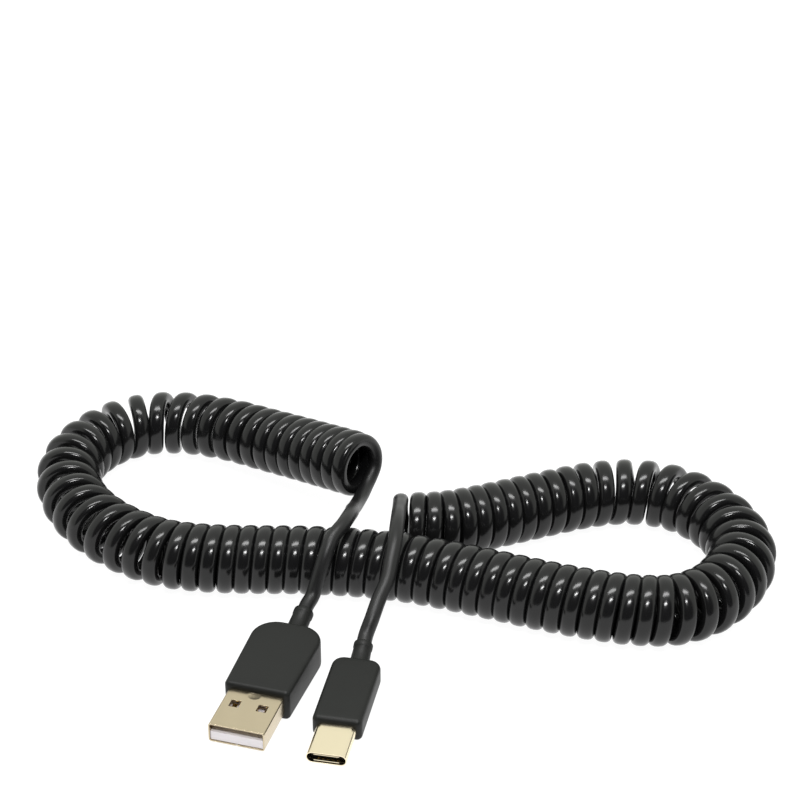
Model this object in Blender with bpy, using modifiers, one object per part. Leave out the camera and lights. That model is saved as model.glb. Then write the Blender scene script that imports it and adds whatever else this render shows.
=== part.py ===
"""Coiled USB-A to USB-C cable, lying in an open loop on a level surface.

Units are metres and +Z is up. The surface is at Z = 0, and the loop's box is centred on X = Y = 0.
Each plug is made in its own frame, with its nose along +Y, the front face of its moulded body at
Y = 0 and its middle plane at Z = 0. It is then laid down behind the place of its boot's rear end.
"""
import math

import bmesh
import bpy
from mathutils import Matrix, Vector

MM = 0.001

# The loop that the coil lies in, as long and as wide as the box round its middle line.
LOOP_L = 155.8 * MM
LOOP_W = 78.4 * MM

# The cord and its coil. The cord is oval, and CORD_T is its thickness outwards from the coil's
# middle line.
CORD_T = 3.2 * MM
TAIL_D = 3.3 * MM
COIL_D = 15.5 * MM
COIL_SIDES = 20
COIL_STEP = 7.0 * MM
TAIL_STEP = 3.8 * MM
TAIL_RESOLUTION = 2
BOOT_LEAD = 1.6 * MM

# Space left between pieces that touch in the real cable.
GAP = 0.3 * MM

# USB-A plug: folded shell, tongue, contacts, moulded body and boot.
A_SHELL_W = 12.0 * MM
A_SHELL_H = 4.5 * MM
A_SHEET = 0.3 * MM
A_SHELL_CORNER = 0.6 * MM
A_SHELL_OUT = 11.8 * MM
A_SHELL_IN = 4.0 * MM
A_WINDOW = 2.1 * MM
A_WINDOW_SPACING = 5.9 * MM
A_WINDOW_FROM_MOUTH = 6.4 * MM
A_SEAM = 0.15 * MM
A_TONGUE_H = 1.85 * MM
A_TONGUE_SETBACK = 0.45 * MM
A_BLOCK_BACK = 3.3 * MM
A_BLOCK_FRONT = 0.9 * MM
A_CONTACT_W = 1.0 * MM
A_CONTACT_L = 7.0 * MM
A_CONTACT_H = 0.2 * MM
A_CONTACT_SETBACK = 1.7 * MM
A_CONTACT_X = (-3.5 * MM, -1.0 * MM, 1.0 * MM, 3.5 * MM)
A_BODY_L = 23.5 * MM
A_BODY_W = 15.4 * MM
A_BODY_NOSE_W = 14.2 * MM
A_BODY_H = 7.4 * MM
A_BODY_REAR_R = 5.4 * MM
A_BODY_NOSE_R = 1.1 * MM
A_EDGE = 0.8 * MM
A_BOOT_D = 4.5 * MM
A_BOOT_L = 7.1 * MM
A_BOOT_LIFT = math.radians(12)

# USB-C plug: drawn shell, slotted liner, ground springs, contacts, moulded body and boot.
C_SHELL_W = 8.34 * MM
C_SHELL_H = 2.56 * MM
C_SHEET = 0.2 * MM
C_SHELL_OUT = 9.2 * MM
C_SHELL_IN = 3.5 * MM
C_LINER_SETBACK = 1.35 * MM
C_LINER_BACK = 1.5 * MM
C_SLOT_W = 6.6 * MM
C_SLOT_H = 1.16 * MM
C_SLOT_FLOOR = 0.8 * MM
C_SPRING_W = 5.2 * MM
C_SPRING_L = 0.9 * MM
C_SPRING_T = 0.15 * MM
C_SPRING_SETBACK = 0.15 * MM
C_CONTACTS_PER_SIDE = 5
C_CONTACT_PITCH = 1.0 * MM
C_CONTACT_W = 0.25 * MM
C_CONTACT_L = 2.8 * MM
C_CONTACT_T = 0.1 * MM
C_BODY_L = 21.3 * MM
C_BODY_W = 10.5 * MM
C_BODY_NOSE_W = 10.4 * MM
C_BODY_H = 5.4 * MM
C_BODY_REAR_R = 2.6 * MM
C_BODY_NOSE_R = 1.2 * MM
C_EDGE = 0.8 * MM
C_BOOT_D = 4.2 * MM
C_BOOT_L = 5.6 * MM
C_BOOT_LIFT = math.radians(20.5)

# Both boots rise towards their rear ends, where a collar stands out of the rod.
COLLAR = 0.15 * MM
COLLAR_L = 1.3 * MM
BOOT_ROOT = 1.2 * MM

# Plan of the cable in mm, as it is laid out. The sizes of the loop and of the coil above set its
# size, and place() puts a point of the plan where it comes to lie. CENTRE_MM is the plan's shift to
# the middle of the whole cable's box. Each moulded body's rear end has its place in the plan, and
# each plug's nose turns from -Y towards -X.
CENTRE_MM = (1.08, 4.66)
A_REAR_MM = (-22.87, -29.81, 0.0)
A_TURN = math.radians(16.5)
C_REAR_MM = (-8.75, -39.15, 0.0)
C_TURN = math.radians(11.2)

# The coil's middle line, from its USB-A end round both bends to its USB-C end. Its first end is
# held up by its tail, which lies across the near strand.
COIL_ROUTE_MM = (
    (-11.6, 24.4, 13.6), (-16.5, 28.5, 12.6), (-24.1, 34.7, 11.2), (-32.5, 41.0, 9.9),
    (-42.5, 47.8, 8.7), (-53.5, 52.2, 7.9), (-62.5, 52.4, 7.6), (-70.5, 48.2, 7.6),
    (-76.0, 41.4, 7.6), (-79.0, 32.6, 7.6), (-78.4, 23.6, 7.6), (-75.2, 15.4, 7.6),
    (-69.6, 7.4, 7.6), (-62.0, 0.6, 7.6), (-53.0, -4.4, 7.6), (-44.0, -6.3, 7.6),
    (-33.0, -6.9, 7.6), (-20.0, -7.2, 7.6), (-8.3, -8.4, 7.6), (1.6, -10.3, 7.6),
    (11.0, -13.2, 7.6), (20.9, -16.8, 7.6), (31.9, -20.9, 7.6), (42.4, -24.2, 7.6),
    (51.0, -26.0, 7.6), (59.5, -25.9, 7.6), (67.2, -22.0, 7.6), (73.2, -15.0, 7.6),
    (76.8, -6.2, 7.6), (75.9, 3.2, 7.6), (71.4, 11.9, 7.6), (64.0, 18.5, 7.6),
    (54.5, 21.0, 7.6), (45.0, 19.8, 7.6), (36.0, 16.7, 7.6), (26.1, 12.8, 7.6),
    (16.6, 9.2, 7.6), (9.6, 7.2, 7.6), (2.8, 6.6, 7.6),
)

# The two straight ends, each from beside the coil's end to just before its boot.
TAIL_A_ROUTE_MM = (
    (-11.8, 22.0, 19.3), (-9.6, 24.6, 19.5), (-7.4, 26.6, 17.6), (-6.0, 27.2, 14.5),
    (-6.0, 26.5, 11.6), (-7.0, 24.6, 9.5), (-7.9, 22.6, 8.5), (-8.7, 20.0, 8.0),
    (-9.6, 17.0, 7.9), (-10.3, 13.6, 8.6), (-10.7, 9.9, 10.2), (-10.9, 5.6, 12.6),
    (-10.9, 0.8, 15.1), (-11.4, -3.8, 17.0), (-12.6, -8.2, 17.6), (-14.8, -11.9, 16.7),
    (-16.2, -14.7, 14.4), (-17.4, -16.5, 11.4), (-18.4, -17.8, 8.4), (-19.2, -19.2, 6.4),
)
TAIL_C_ROUTE_MM = (
    (0.15, 12.2, 6.8), (0.1, 11.4, 10.6), (0.2, 8.8, 13.1), (0.1, 5.0, 14.3),
    (-0.2, 0.8, 15.5), (-0.4, -3.8, 16.9), (-0.7, -9.0, 17.6), (-1.1, -13.6, 16.9),
    (-1.9, -17.8, 14.9), (-2.8, -21.8, 12.3), (-4.6, -25.7, 10.0), (-6.0, -29.4, 7.8),
)

BLACK = (0.012, 0.012, 0.013, 1.0)
CHARCOAL = (0.035, 0.036, 0.035, 1.0)
NICKEL = (0.72, 0.66, 0.52, 1.0)
STEEL = (0.86, 0.80, 0.68, 1.0)
GOLD = (0.83, 0.62, 0.26, 1.0)
WHITE = (0.83, 0.80, 0.81, 1.0)


def clear_scene():
    """Removes every object that the file opened with."""
    for old in list(bpy.data.objects):
        bpy.data.objects.remove(old, do_unlink=True)


def make_material(name, colour, roughness, metallic):
    """Returns a Principled material with the given colour, roughness and metallic value."""
    material = bpy.data.materials.new(name)
    material.use_nodes = True
    shader = material.node_tree.nodes["Principled BSDF"]
    shader.inputs["Base Color"].default_value = colour
    shader.inputs["Roughness"].default_value = roughness
    shader.inputs["Metallic"].default_value = metallic
    material.diffuse_color = colour
    return material


def add_object(name, mesh, material):
    """Links a new object that shows the mesh."""
    obj = bpy.data.objects.new(name, mesh)
    bpy.context.scene.collection.objects.link(obj)
    mesh.materials.append(material)
    return obj


def add_cutter(name, mesh):
    """Links a hidden object that only a boolean modifier uses."""
    holder = bpy.data.collections.get("cutters")
    if holder is None:
        holder = bpy.data.collections.new("cutters")
        bpy.context.scene.collection.children.link(holder)
    obj = bpy.data.objects.new(name, mesh)
    holder.objects.link(obj)
    obj.hide_render = True
    obj.display_type = "WIRE"
    return obj


def combine(obj, tool, operation="DIFFERENCE"):
    """Adds an exact boolean modifier."""
    modifier = obj.modifiers.new(operation.lower() + "_" + tool.name, "BOOLEAN")
    modifier.operation = operation
    modifier.solver = "EXACT"
    modifier.object = tool


def mesh_from(bm, name):
    """Turns a bmesh into a mesh with outward normals."""
    bmesh.ops.recalc_face_normals(bm, faces=bm.faces)
    mesh = bpy.data.meshes.new(name)
    bm.to_mesh(mesh)
    bm.free()
    return mesh


def box(name, low, high):
    """Makes a box mesh from two opposite corners."""
    bm = bmesh.new()
    bmesh.ops.create_cube(bm, size=1.0)
    low = Vector(low)
    high = Vector(high)
    bmesh.ops.scale(bm, verts=bm.verts, vec=high - low)
    bmesh.ops.translate(bm, verts=bm.verts, vec=(low + high) / 2)
    return mesh_from(bm, name)


def prism(name, outline, low, high):
    """Makes a closed mesh by raising a flat outline of (x, y) points from low to high."""
    bm = bmesh.new()
    ring = [bm.verts.new((x, y, low)) for x, y in outline]
    raised = bmesh.ops.extrude_face_region(bm, geom=[bm.faces.new(ring)])
    top = [item for item in raised["geom"] if isinstance(item, bmesh.types.BMVert)]
    bmesh.ops.translate(bm, verts=top, vec=(0.0, 0.0, high - low))
    return mesh_from(bm, name)


def sleeve(name, outline, back, front):
    """Makes a prism whose outline faces along Y: (x, z) points, drawn from back to front."""
    mesh = prism(name, outline, -front, -back)
    mesh.transform(Matrix.Rotation(math.radians(90), 4, "X"))
    return mesh


def arc(centre_x, centre_y, radius, start, steps):
    """Returns the points of a quarter circle that starts at the given angle in degrees."""
    points = []
    for i in range(steps + 1):
        angle = math.radians(start + 90 * i / steps)
        points.append((centre_x + radius * math.cos(angle), centre_y + radius * math.sin(angle)))
    return points


def rounded_rectangle(width, height, radius, steps=4):
    """Returns a rounded rectangle's outline, centred on the origin."""
    x = width / 2 - radius
    y = height / 2 - radius
    outline = arc(x, y, radius, 0, steps) + arc(-x, y, radius, 90, steps)
    return outline + arc(-x, -y, radius, 180, steps) + arc(x, -y, radius, 270, steps)


def stadium(width, height):
    """Returns an outline with straight long sides and round ends."""
    return rounded_rectangle(width, height, height / 2 - 0.01 * MM, 7)


def body_outline(nose_w, rear_w, length, nose_r, rear_r):
    """Returns a plug body's plan, narrow at its nose (y = 0) and rounder at its rear."""
    nose_x = nose_w / 2 - nose_r
    rear_x = rear_w / 2 - rear_r
    outline = arc(nose_x, -nose_r, nose_r, 0, 3) + arc(-nose_x, -nose_r, nose_r, 90, 3)
    outline += arc(-rear_x, rear_r - length, rear_r, 180, 8)
    return outline + arc(rear_x, rear_r - length, rear_r, 270, 8)


def boot(name, diameter, length, lift, body_l):
    """Makes the boot: a round rod that rises from inside the body to a collar with rounded rims."""
    radius = diameter / 2
    rod = radius - COLLAR
    profile = (
        (0.0, BOOT_ROOT), (radius, BOOT_ROOT), (rod, COLLAR_L + COLLAR - length),
        (radius, COLLAR_L - length), (radius, COLLAR - length), (rod, -length), (0.0, -length),
    )
    bm = bmesh.new()
    verts = [bm.verts.new((r, y, 0.0)) for r, y in profile]
    edges = [bm.edges.new(pair) for pair in zip(verts, verts[1:])]
    bmesh.ops.spin(bm, geom=verts + edges, cent=(0, 0, 0), axis=(0, 1, 0), angle=math.tau,
                   steps=20, use_merge=True)
    bmesh.ops.remove_doubles(bm, verts=bm.verts, dist=0.00001)
    mesh = mesh_from(bm, name)
    mesh.transform(Matrix.Translation((0.0, -body_l, 0.0)) @ Matrix.Rotation(-lift, 4, "X"))
    return mesh


def overmould(name, outline, height, edge, boot_mesh, pocket_mesh):
    """Makes a plug's moulded body with its boot and its shell's pocket, and returns all three."""
    material = make_material(name, CHARCOAL, 0.55, 0.0)
    body = add_object(name, prism(name, outline, -height / 2, height / 2), material)
    rounding = body.modifiers.new("rounded_edges", "BEVEL")
    rounding.width = edge
    rounding.segments = 3
    rounding.limit_method = "ANGLE"
    rounding.angle_limit = math.radians(40)
    rod = add_cutter(name + "_boot", boot_mesh)
    combine(body, rod, "UNION")
    pocket = add_cutter(name + "_pocket", pocket_mesh)
    combine(body, pocket)
    return [body, rod, pocket]


def nose_direction(turn):
    """Returns the way a plug's nose points once it lies on the surface."""
    return Vector((-math.sin(turn), -math.cos(turn), 0.0))


def place(point):
    """Returns where a point of the plan lies in metres, once the loop has its size."""
    spans = []
    for axis, size in ((0, LOOP_L), (1, LOOP_W)):
        values = [row[axis] for row in COIL_ROUTE_MM]
        spans.append(size / (max(values) - min(values)))
    rest = min(row[2] for row in COIL_ROUTE_MM)
    x, y = ((point[axis] + CENTRE_MM[axis]) * spans[axis] for axis in (0, 1))
    return Vector((x, y, point[2] / rest * COIL_D / 2))


def lay_down(pieces, rear, turn, length, height):
    """Moves a plug's pieces and cutters to where its moulded body's rear end lies."""
    nose = nose_direction(turn)
    side = Vector((nose.y, -nose.x, 0.0))
    rotation = Matrix((side, nose, Vector((0.0, 0.0, 1.0)))).transposed().to_4x4()
    origin = rear + nose * length + Vector((0.0, 0.0, height / 2))
    for piece in pieces:
        piece.data.transform(Matrix.Translation(origin) @ rotation)


def usb_a_shell():
    """Makes the folded shell with its windows and its seam, and returns it with its cutters."""
    nickel = make_material("nickel_steel", NICKEL, 0.28, 1.0)
    outline = rounded_rectangle(A_SHELL_W, A_SHELL_H, A_SHELL_CORNER)
    shell = add_object("usb_a_shell", sleeve("usb_a_shell", outline, -A_SHELL_IN, A_SHELL_OUT),
                       nickel)
    inner = rounded_rectangle(A_SHELL_W - 2 * A_SHEET, A_SHELL_H - 2 * A_SHEET,
                              A_SHELL_CORNER - A_SHEET)
    cutters = [add_cutter("usb_a_hollow", sleeve("usb_a_hollow", inner, -A_SHELL_IN - MM,
                                                 A_SHELL_OUT + MM))]
    front = A_SHELL_OUT - A_WINDOW_FROM_MOUTH
    for side in (-1, 1):
        middle = side * A_WINDOW_SPACING / 2
        for level in (-1, 1):
            heights = sorted((level * (A_SHELL_H / 2 - 2 * A_SHEET), level * A_SHELL_H))
            mesh = box("usb_a_window", (middle - A_WINDOW / 2, front - A_WINDOW, heights[0]),
                       (middle + A_WINDOW / 2, front, heights[1]))
            cutters.append(add_cutter("usb_a_window", mesh))
    seam = box("usb_a_seam", (-A_SEAM / 2, -A_SHELL_IN - MM, -A_SHELL_H),
               (A_SEAM / 2, A_SHELL_OUT + MM, -A_SHELL_H / 2 + 2 * A_SHEET))
    cutters.append(add_cutter("usb_a_seam", seam))
    for tool in cutters:
        combine(shell, tool)
    return [shell] + cutters


def usb_a_inside():
    """Makes the white tongue with its block, and the four contacts on it."""
    white = make_material("white_plastic", WHITE, 0.45, 0.0)
    gold = make_material("gold_plate", GOLD, 0.25, 1.0)
    half_w = A_SHELL_W / 2 - A_SHEET - GAP
    half_h = A_SHELL_H / 2 - A_SHEET - GAP
    front = A_SHELL_OUT - A_TONGUE_SETBACK
    top = A_TONGUE_H - half_h
    tongue = add_object("usb_a_insulator", box("usb_a_insulator", (-half_w, 0.0, -half_h),
                                               (half_w, front, top)), white)
    block = add_cutter("usb_a_block", box("usb_a_block", (-half_w, -A_BLOCK_BACK, -half_h),
                                          (half_w, A_BLOCK_FRONT, half_h)))
    combine(tongue, block, "UNION")
    pieces = [tongue, block]
    tip = front - A_CONTACT_SETBACK
    for number, x in enumerate(A_CONTACT_X, 1):
        name = "usb_a_contact_%d" % number
        mesh = box(name, (x - A_CONTACT_W / 2, tip - A_CONTACT_L, top + GAP),
                   (x + A_CONTACT_W / 2, tip, top + GAP + A_CONTACT_H))
        pieces.append(add_object(name, mesh, gold))
    return pieces


def usb_a_plug():
    """Builds the USB-A plug and lays it down."""
    pieces = usb_a_shell() + usb_a_inside()
    outline = body_outline(A_BODY_NOSE_W, A_BODY_W, A_BODY_L, A_BODY_NOSE_R, A_BODY_REAR_R)
    pocket = rounded_rectangle(A_SHELL_W + 2 * GAP, A_SHELL_H + 2 * GAP, A_SHELL_CORNER + GAP)
    pieces += overmould("usb_a_overmould", outline, A_BODY_H, A_EDGE,
                        boot("usb_a_boot", A_BOOT_D, A_BOOT_L, A_BOOT_LIFT, A_BODY_L),
                        sleeve("usb_a_pocket", pocket, -A_SHELL_IN - GAP, MM))
    lay_down(pieces, place(A_REAR_MM), A_TURN, A_BODY_L, A_BODY_H)


def usb_c_inside():
    """Makes the slotted liner, the ground springs at its mouth and the contacts in its slot."""
    black = make_material("black_plastic", BLACK, 0.4, 0.0)
    bright = make_material("spring_steel", STEEL, 0.25, 1.0)
    gold = make_material("gold_plate_c", GOLD, 0.25, 1.0)
    inner_w = C_SHELL_W - 2 * C_SHEET
    inner_h = C_SHELL_H - 2 * C_SHEET
    front = C_SHELL_OUT - C_LINER_SETBACK
    back = C_LINER_BACK
    outline = stadium(inner_w - 2 * GAP, inner_h - 2 * GAP)
    liner = add_object("usb_c_insulator", sleeve("usb_c_insulator", outline, back, front), black)
    slot = add_cutter("usb_c_slot", box("usb_c_slot",
                                        (-C_SLOT_W / 2, back + C_SLOT_FLOOR, -C_SLOT_H / 2),
                                        (C_SLOT_W / 2, front + MM, C_SLOT_H / 2)))
    combine(liner, slot)
    pieces = [liner, slot]
    tip = C_SHELL_OUT - C_SPRING_SETBACK
    contact_tip = front - GAP
    for side, level in (("upper", 1), ("lower", -1)):
        name = "usb_c_spring_" + side
        outer = level * (inner_h / 2 - GAP)
        low, high = sorted((outer, outer - level * C_SPRING_T))
        mesh = box(name, (-C_SPRING_W / 2, tip - C_SPRING_L, low), (C_SPRING_W / 2, tip, high))
        pieces.append(add_object(name, mesh, bright))
        outer = level * (C_SLOT_H / 2 - GAP)
        low, high = sorted((outer, outer - level * C_CONTACT_T))
        for number in range(C_CONTACTS_PER_SIDE):
            name = "usb_c_contact_%s_%d" % (side, number + 1)
            x = (number - (C_CONTACTS_PER_SIDE - 1) / 2) * C_CONTACT_PITCH
            mesh = box(name, (x - C_CONTACT_W / 2, contact_tip - C_CONTACT_L, low),
                       (x + C_CONTACT_W / 2, contact_tip, high))
            pieces.append(add_object(name, mesh, gold))
    return pieces


def usb_c_plug():
    """Builds the USB-C plug and lays it down."""
    steel = make_material("bright_steel", STEEL, 0.2, 1.0)
    shell = add_object("usb_c_shell", sleeve("usb_c_shell", stadium(C_SHELL_W, C_SHELL_H),
                                             -C_SHELL_IN, C_SHELL_OUT), steel)
    inner = stadium(C_SHELL_W - 2 * C_SHEET, C_SHELL_H - 2 * C_SHEET)
    hollow = add_cutter("usb_c_hollow", sleeve("usb_c_hollow", inner, -C_SHELL_IN - MM,
                                               C_SHELL_OUT + MM))
    combine(shell, hollow)
    pieces = [shell, hollow] + usb_c_inside()
    outline = body_outline(C_BODY_NOSE_W, C_BODY_W, C_BODY_L, C_BODY_NOSE_R, C_BODY_REAR_R)
    pocket = stadium(C_SHELL_W + 2 * GAP, C_SHELL_H + 2 * GAP)
    pieces += overmould("usb_c_overmould", outline, C_BODY_H, C_EDGE,
                        boot("usb_c_boot", C_BOOT_D, C_BOOT_L, C_BOOT_LIFT, C_BODY_L),
                        sleeve("usb_c_pocket", pocket, -C_SHELL_IN - GAP, MM))
    lay_down(pieces, place(C_REAR_MM), C_TURN, C_BODY_L, C_BODY_H)


def smooth_route(points_mm, step):
    """Returns points at even steps along a smooth curve through the route's points, in metres."""
    points = [place(point) for point in points_mm]
    ends = [points[0] * 2 - points[1]] + points + [points[-1] * 2 - points[-2]]
    fine = []
    for i in range(1, len(ends) - 2):
        before, start, stop, after = ends[i - 1:i + 3]
        for j in range(24):
            t = j / 24
            bend = 2 * before - 5 * start + 4 * stop - after
            cubic = 3 * start - before - 3 * stop + after
            fine.append((2 * start + (stop - before) * t + bend * t * t + cubic * t ** 3) / 2)
    fine.append(points[-1])
    walked = [0.0]
    for a, b in zip(fine, fine[1:]):
        walked.append(walked[-1] + (b - a).length)
    count = round(walked[-1] / step)
    route = [fine[0]]
    at = 0
    for i in range(1, count):
        target = walked[-1] * i / count
        while walked[at + 1] < target:
            at += 1
        part = (target - walked[at]) / (walked[at + 1] - walked[at])
        route.append(fine[at].lerp(fine[at + 1], part))
    return route + [fine[-1]]


def into_boot(rear, turn, height, length, lift):
    """Returns the last stretch of a tail: straight and in line with its boot."""
    along = -nose_direction(turn) * math.cos(lift) + Vector((0.0, 0.0, math.sin(lift)))
    end = rear + Vector((0.0, 0.0, height / 2)) + along * (length + GAP)
    return [end + along * BOOT_LEAD, end]


def tube(name, route, radius, resolution, capped, material):
    """Makes a round tube along a route, open or capped."""
    curve = bpy.data.curves.new(name + "_curve", "CURVE")
    curve.dimensions = "3D"
    curve.bevel_depth = radius
    curve.bevel_resolution = resolution
    curve.use_fill_caps = capped
    spline = curve.splines.new("POLY")
    spline.points.add(len(route) - 1)
    for point, where in zip(spline.points, route):
        point.co = (where.x, where.y, where.z, 1.0)
    holder = bpy.data.objects.new(name + "_curve", curve)
    bpy.context.scene.collection.objects.link(holder)
    mesh = bpy.data.meshes.new_from_object(holder)
    mesh.transform(holder.matrix_world)
    bpy.data.objects.remove(holder, do_unlink=True)
    bm = bmesh.new()
    bm.from_mesh(mesh)
    bmesh.ops.remove_doubles(bm, verts=bm.verts, dist=0.00001)
    return add_object(name, mesh_from(bm, name), material)


def cord():
    """Builds the coil as one thick-walled tube, and the two straight ends."""
    jacket = make_material("cord_jacket", BLACK, 0.3, 0.0)
    coil = tube("cord_coil", smooth_route(COIL_ROUTE_MM, COIL_STEP), COIL_D / 2,
                COIL_SIDES // 2 - 2, False, jacket)
    wall = coil.modifiers.new("wall", "SOLIDIFY")
    wall.thickness = CORD_T
    wall.offset = -1.0
    into_a = into_boot(place(A_REAR_MM), A_TURN, A_BODY_H, A_BOOT_L, A_BOOT_LIFT)
    into_c = into_boot(place(C_REAR_MM), C_TURN, C_BODY_H, C_BOOT_L, C_BOOT_LIFT)
    tube("cord_tail_usb_a", smooth_route(TAIL_A_ROUTE_MM, TAIL_STEP) + into_a, TAIL_D / 2,
         TAIL_RESOLUTION, True, jacket)
    tube("cord_tail_usb_c", smooth_route(TAIL_C_ROUTE_MM, TAIL_STEP) + into_c, TAIL_D / 2,
         TAIL_RESOLUTION, True, jacket)


def main():
    """Builds the whole cable."""
    clear_scene()
    usb_a_plug()
    usb_c_plug()
    cord()


main()
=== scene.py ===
"""Dresses the coiled USB-A to USB-C cable and sets its camera, floor and studio light.

Lengths are in metres. A plug is worked out in its own frame, with its nose along +Y, the front face
of its moulded body at y = 0 and its middle plane at z = 0, and is then laid where the CAD has it.
"""
import logging
import math
from dataclasses import dataclass
from enum import Enum
from typing import Callable, Sequence

import bmesh
import bpy
import numpy as np
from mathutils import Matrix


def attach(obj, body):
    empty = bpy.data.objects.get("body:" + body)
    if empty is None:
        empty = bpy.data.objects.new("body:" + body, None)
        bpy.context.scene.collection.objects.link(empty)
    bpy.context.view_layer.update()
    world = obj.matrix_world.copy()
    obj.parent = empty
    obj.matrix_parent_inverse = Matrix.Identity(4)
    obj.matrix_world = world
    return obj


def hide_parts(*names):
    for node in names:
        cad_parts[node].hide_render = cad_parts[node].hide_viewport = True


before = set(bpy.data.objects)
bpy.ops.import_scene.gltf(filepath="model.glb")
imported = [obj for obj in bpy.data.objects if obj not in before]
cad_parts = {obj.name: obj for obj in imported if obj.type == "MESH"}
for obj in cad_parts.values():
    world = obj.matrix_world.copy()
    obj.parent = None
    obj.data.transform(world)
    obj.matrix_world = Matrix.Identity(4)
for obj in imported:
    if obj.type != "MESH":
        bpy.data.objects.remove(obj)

LOG = logging.getLogger("coiled_cable")
MM = 0.001
ROOT = "root"
# Where the plan's own zero lies, from the middle of the whole cable's box.
CENTRE = np.array((1.08, 4.66, 0.0)) * MM
# Points of a mesh that lie nearer together than this are one.
SAME_PLACE = 1e-6
Colour = tuple[float, float, float]


class Detail(Enum):
    """How fine a curved surface is divided."""

    AROUND_CORD = 20
    AROUND_BOOT = 48
    PER_TURN = 24
    PER_CORNER = 10
    PER_EDGE = 6
    PER_ROUTE_POINT = 16


# Shapes


def ease_through(where: np.ndarray, knots: np.ndarray, values: np.ndarray) -> np.ndarray:
    """Reads a smooth curve through known values.

    Between two knots the curve is a cubic. Its slope at a knot is that of the parabola through the
    knot and its two neighbours.

    Args:
        where: places to read, in the knots' units.
        knots: rising places of the known values.
        values: known values, one row to a knot.

    Returns:
        One row of values for each place.
    """
    slopes = np.gradient(values, knots, axis=0)
    gaps = np.diff(knots)
    cell = np.clip(np.searchsorted(knots, where, side="right") - 1, 0, len(gaps) - 1)
    width = gaps[cell].reshape((-1,) + (1,) * (values.ndim - 1))
    t = ((where - knots[cell]) / gaps[cell]).reshape(width.shape)
    start = values[cell] * (1 + 2 * t) * (1 - t) ** 2 + slopes[cell] * width * t * (1 - t) ** 2
    stop = values[cell + 1] * t**2 * (3 - 2 * t) + slopes[cell + 1] * width * t**2 * (t - 1)
    return start + stop


def distance_along(points: np.ndarray) -> np.ndarray:
    """Returns how far each point of a line lies from its start."""
    steps = np.linalg.norm(np.diff(points, axis=0), axis=1)
    return np.concatenate(([0.0], np.cumsum(steps)))


def unit(vectors: np.ndarray) -> np.ndarray:
    """Returns the vectors at length one."""
    return vectors / np.linalg.norm(vectors, axis=-1, keepdims=True)


def smooth_line(points: np.ndarray, spacing: float) -> np.ndarray:
    """Draws a smooth line through points and divides it evenly.

    Args:
        points: route points, one to a row.
        spacing: distance between the points returned.

    Returns:
        Points at even distances along the line.
    """
    chord = distance_along(points)
    places = np.linspace(0.0, chord[-1], Detail.PER_ROUTE_POINT.value * len(points))
    fine = ease_through(places, chord, points)
    walked = distance_along(fine)
    even = np.linspace(0.0, walked[-1], round(walked[-1] / spacing) + 1)
    return np.stack([np.interp(even, walked, fine[:, axis]) for axis in range(3)], axis=1)


def quads(rows: int, columns: int, closed: bool) -> np.ndarray:
    """Numbers the corners of a grid's four-sided faces.

    Args:
        rows: number of rows of points.
        columns: number of points in a row.
        closed: whether each row joins up with its own start.

    Returns:
        The four corner numbers of each face, one face to a row.
    """
    row, column = np.meshgrid(np.arange(rows - 1), np.arange(columns - (not closed)), indexing="ij")
    after = (column + 1) % columns
    corners = (row * columns + column, row * columns + after,
               (row + 1) * columns + after, (row + 1) * columns + column)
    return np.stack(corners, axis=-1).reshape(-1, 4)


def make_object(name: str, points: np.ndarray, faces: Sequence, sharp: float = 35.0
                ) -> bpy.types.Object:
    """Makes a smooth-shaded object from points and faces.

    Args:
        name: the object's name.
        points: corner positions, one to a row.
        faces: corner numbers of each face.
        sharp: the angle in degrees past which an edge stays crisp.

    Returns:
        The new object, linked to the scene.
    """
    mesh = bpy.data.meshes.new(name)
    mesh.from_pydata(points.tolist(), [], [list(face) for face in faces])
    edit = bmesh.new()
    edit.from_mesh(mesh)
    bmesh.ops.remove_doubles(edit, verts=edit.verts, dist=SAME_PLACE)
    bmesh.ops.recalc_face_normals(edit, faces=edit.faces)
    edit.to_mesh(mesh)
    edit.free()
    mesh.shade_smooth()
    mesh.set_sharp_from_angle(angle=math.radians(sharp))
    obj = bpy.data.objects.new(name, mesh)
    bpy.context.scene.collection.objects.link(obj)
    return obj


def swept_rings(rings: np.ndarray, first: int = 0) -> tuple[np.ndarray, list]:
    """Joins closed rings of points into a skin that is capped at both ends.

    Args:
        rings: array of rings by points by coordinates.
        first: number of the first point, where the skin joins a larger set.

    Returns:
        The points, one to a row, and the faces.
    """
    count, around = rings.shape[:2]
    faces = (quads(count, around, True) + first).tolist()
    faces.append(list(range(first, first + around)))
    faces.append(list(range(first + (count - 1) * around, first + count * around)))
    return rings.reshape(-1, 3), faces


def corner_points(x: float, y: float, radius: float, start: float) -> np.ndarray:
    """Returns the points of a quarter circle about (x, y) from the angle start in degrees."""
    angle = np.radians(start + np.linspace(0.0, 90.0, Detail.PER_CORNER.value + 1))
    return np.stack((x + radius * np.cos(angle), y + radius * np.sin(angle)), axis=1)


def rounded_box_outline(width: float, height: float, radius: float) -> np.ndarray:
    """Works out a rounded rectangle's outline about the origin: four quarter circles in turn.

    Args:
        width: the rectangle's size across.
        height: its size upwards.
        radius: its corners' radius.

    Returns:
        The outline's points, anticlockwise.
    """
    x = width / 2 - radius
    y = height / 2 - radius
    return np.concatenate((corner_points(x, y, radius, 0), corner_points(-x, y, radius, 90),
                           corner_points(-x, -y, radius, 180), corner_points(x, -y, radius, 270)))


def fill_in(outline: np.ndarray, spacing: float) -> np.ndarray:
    """Adds points along a closed outline's long sides, which divide each side evenly.

    Args:
        outline: the outline's points in order.
        spacing: the widest gap left between two points.

    Returns:
        The outline with the points added.
    """
    after = np.roll(outline, -1, axis=0)
    parts = []
    for a, b in zip(outline, after):
        steps = max(1, math.ceil(float(np.linalg.norm(b - a)) / spacing))
        parts.append(a + (b - a) * (np.arange(steps) / steps)[:, None])
    return np.concatenate(parts)


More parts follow.
